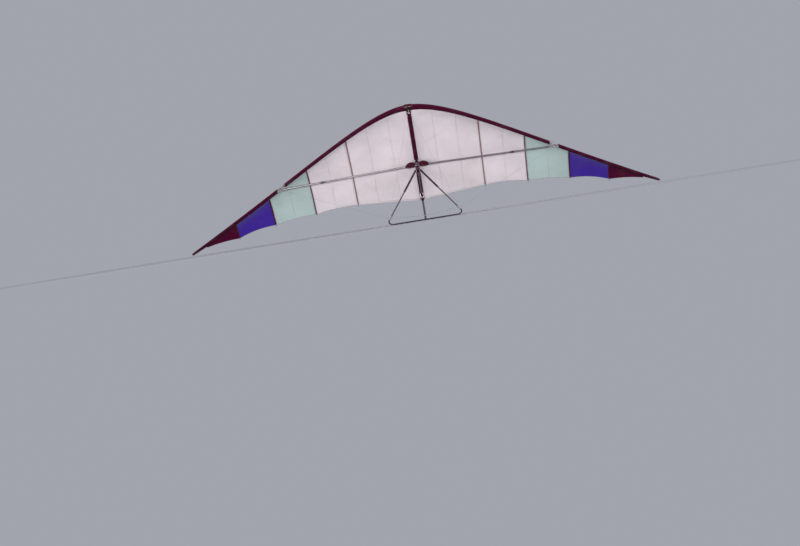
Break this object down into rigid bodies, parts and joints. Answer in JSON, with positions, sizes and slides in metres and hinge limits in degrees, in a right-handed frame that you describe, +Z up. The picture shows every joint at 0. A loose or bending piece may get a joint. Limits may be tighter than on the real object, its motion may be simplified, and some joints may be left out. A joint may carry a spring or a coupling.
{
  "type": "hang glider",
  "caption": "Flexwing hang glider with a curved, swept leading edge, a panelled sail in white, turquoise, blue and maroon, a kingpost and a triangular control frame.",
  "frame": {"origin": "on the ground, below the centre of the whole glider's box, with the glider parked on its base bar and the tail end of its keel, nose up", "axes": "+X along the span to the right, +Y aft towards the tail, +Z up"},
  "size_m": [10.45, 3.2676, 2.3681],
  "materials": {
    "sail_white": "matte",
    "sail_turquoise": "matte",
    "sail_blue": "matte",
    "sail_maroon": "matte",
    "pocket_maroon": "matte",
    "boot_red": "matte",
    "webbing": "matte",
    "tube": "satin",
    "bracket": "satin",
    "plate": "satin",
    "wire": "satin",
    "black_tube": "satin",
    "foam": "matte",
    "cap": "matte",
    "tip": "satin"
  },
  "bodies": {
    "airframe": {"keel_tube": "tube", "keel_tail_cap": "cap", "keel_pocket_front": "pocket_maroon", "keel_pocket_middle": "pocket_maroon", "keel_pocket_rear": "pocket_maroon", "nose_plate_top": "plate", "nose_plate_bottom": "plate", "leading_edge_tube_right": "tube", "leading_edge_tube_left": "tube", "tip_cap_right": "tip", "tip_cap_left": "tip", "leading_edge_pocket_inner_right": "pocket_maroon", "leading_edge_pocket_inner_left": "pocket_maroon", "leading_edge_pocket_outer_right": "pocket_maroon", "leading_edge_pocket_outer_left": "pocket_maroon", "sail_root_right": "sail_white", "sail_root_left": "sail_white", "sail_inner_right": "sail_white", "sail_inner_left": "sail_white", "sail_middle_right": "sail_turquoise", "sail_middle_left": "sail_turquoise", "sail_outer_right": "sail_blue", "sail_outer_left": "sail_blue", "sail_tip_right": "sail_maroon", "sail_tip_left": "sail_maroon", "crossbar_right": "tube", "crossbar_left": "tube", "crossbar_boot_right": "boot_red", "crossbar_boot_left": "boot_red", "junction_bracket_right": "bracket", "junction_bracket_left": "bracket", "centre_bracket": "bracket", "apex_bracket": "bracket", "hang_bracket": "bracket", "base_bar": "black_tube", "downtube_right": "tube", "downtube_left": "tube", "downtube_sleeve_right": "foam", "downtube_sleeve_left": "foam", "corner_fitting_right": "bracket", "corner_fitting_left": "bracket", "kingpost": "tube", "kingpost_cap": "plate", "rear_wire_tang": "plate", "upper_front_wire": "wire", "upper_rear_wire": "wire", "upper_side_wire_right": "wire", "upper_side_wire_left": "wire", "lower_side_wire_right": "wire", "lower_side_wire_left": "wire", "lower_front_wire_right": "wire", "lower_front_wire_left": "wire", "lower_rear_wire_right": "wire", "lower_rear_wire_left": "wire"},
    "strap": {"hang_strap": "webbing"},
    "clip": {"carabiner": "plate"}
  },
  "joints": [
    {"name": "hang_strap_swing", "type": "hinge", "parent": "airframe", "child": "strap", "pos_m": [0, -0.06435, 0.97246], "axis": [1, 0, 0], "range_deg": [-70, 35]},
    {"name": "carabiner_swing", "type": "hinge", "parent": "strap", "child": "clip", "pos_m": [0, -0.06435, 0.57146], "axis": [1, 0, 0], "range_deg": [-60, 60]}
  ]
}
